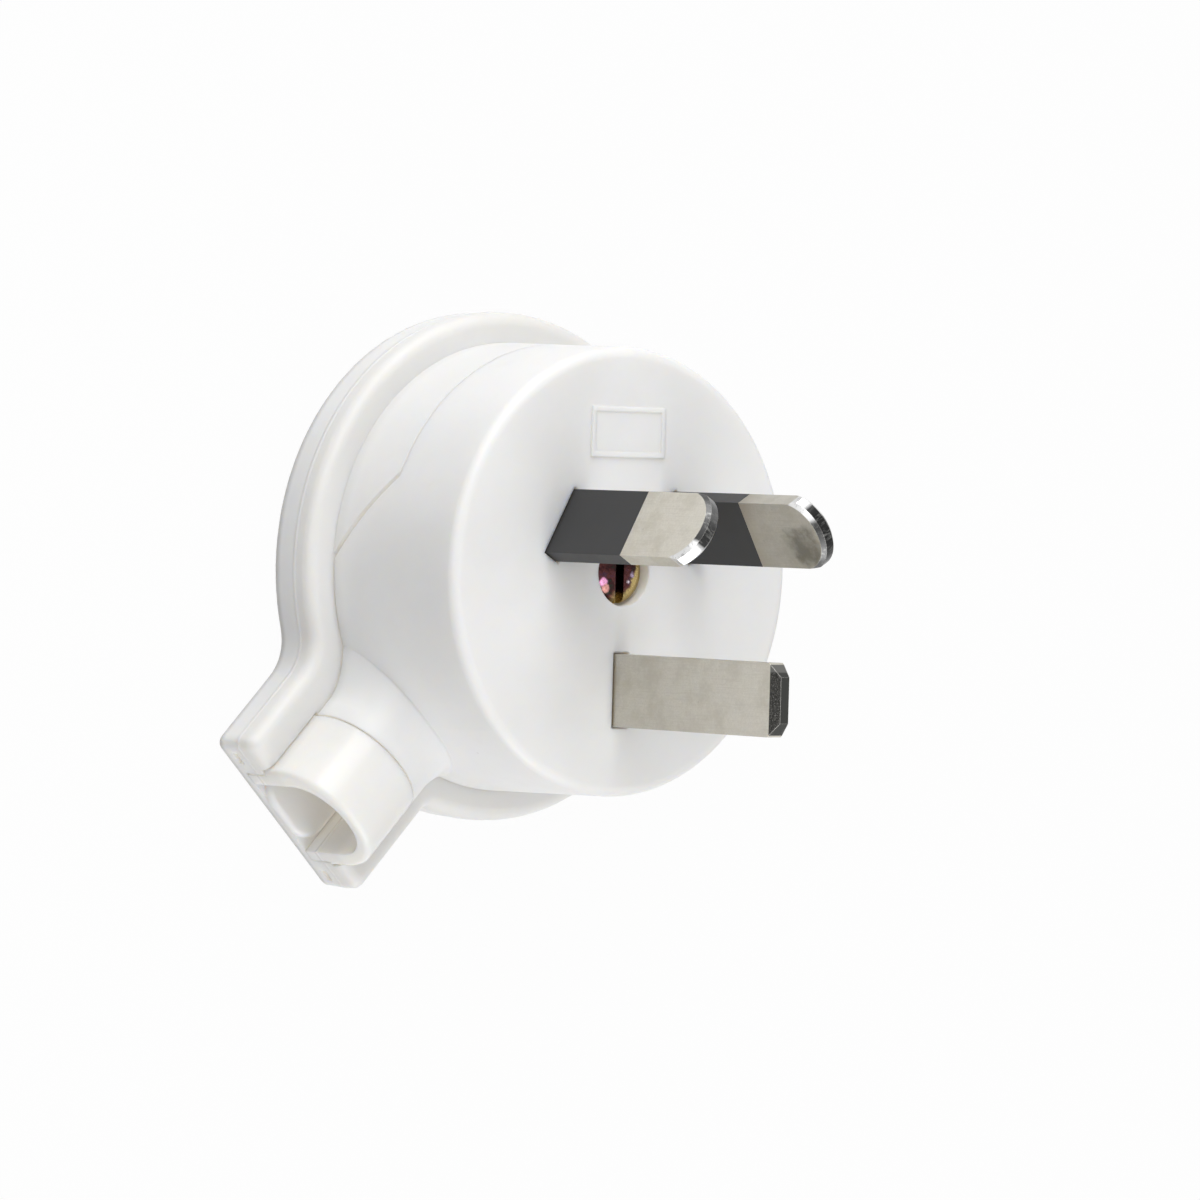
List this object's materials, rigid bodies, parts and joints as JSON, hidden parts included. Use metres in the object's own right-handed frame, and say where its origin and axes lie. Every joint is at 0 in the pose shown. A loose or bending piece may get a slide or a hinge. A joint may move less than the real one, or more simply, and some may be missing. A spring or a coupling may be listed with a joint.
{
  "type": "type i plug",
  "caption": "Round three-pin mains plug with flat angled pins, sleeved live pins, a wider rear rim and a side cord entry.",
  "frame": {"origin": "centre of the flat back, on the axis of the cover screw and of the pin pattern", "axes": "+Z from the back towards the pin tips, +Y away from the earth pin, +X to the right seen from the pin side; the cord leaves between -X and -Y"},
  "size_m": [0.051, 0.051, 0.0417],
  "materials": {
    "white_moulding": "glossy moulded white",
    "clamp_moulding": "satin moulded off-white",
    "pin_metal": "nickel-plated brass, fine rolling lines",
    "pin_insulation": "satin black",
    "passivated_screw": "yellow passivated zinc with pink and green tints",
    "terminal_brass": "machined",
    "screw_steel": "zinc plated",
    "fibre": "vulcanised fibre"
  },
  "bodies": {
    "root": {"base": "white_moulding", "rear_cover": "white_moulding", "cord_clamp": "clamp_moulding", "cover_screw": "passivated_screw", "cover_insert": "terminal_brass", "screw_retainer": "fibre", "active_pin": "pin_metal", "neutral_pin": "pin_metal", "earth_pin": "pin_metal", "active_sleeve": "pin_insulation", "neutral_sleeve": "pin_insulation", "active_terminal": "terminal_brass", "active_terminal_screw": "screw_steel", "neutral_terminal": "terminal_brass", "neutral_terminal_screw": "screw_steel", "earth_terminal": "terminal_brass", "earth_terminal_screw": "screw_steel"}
  },
  "joints": []
}
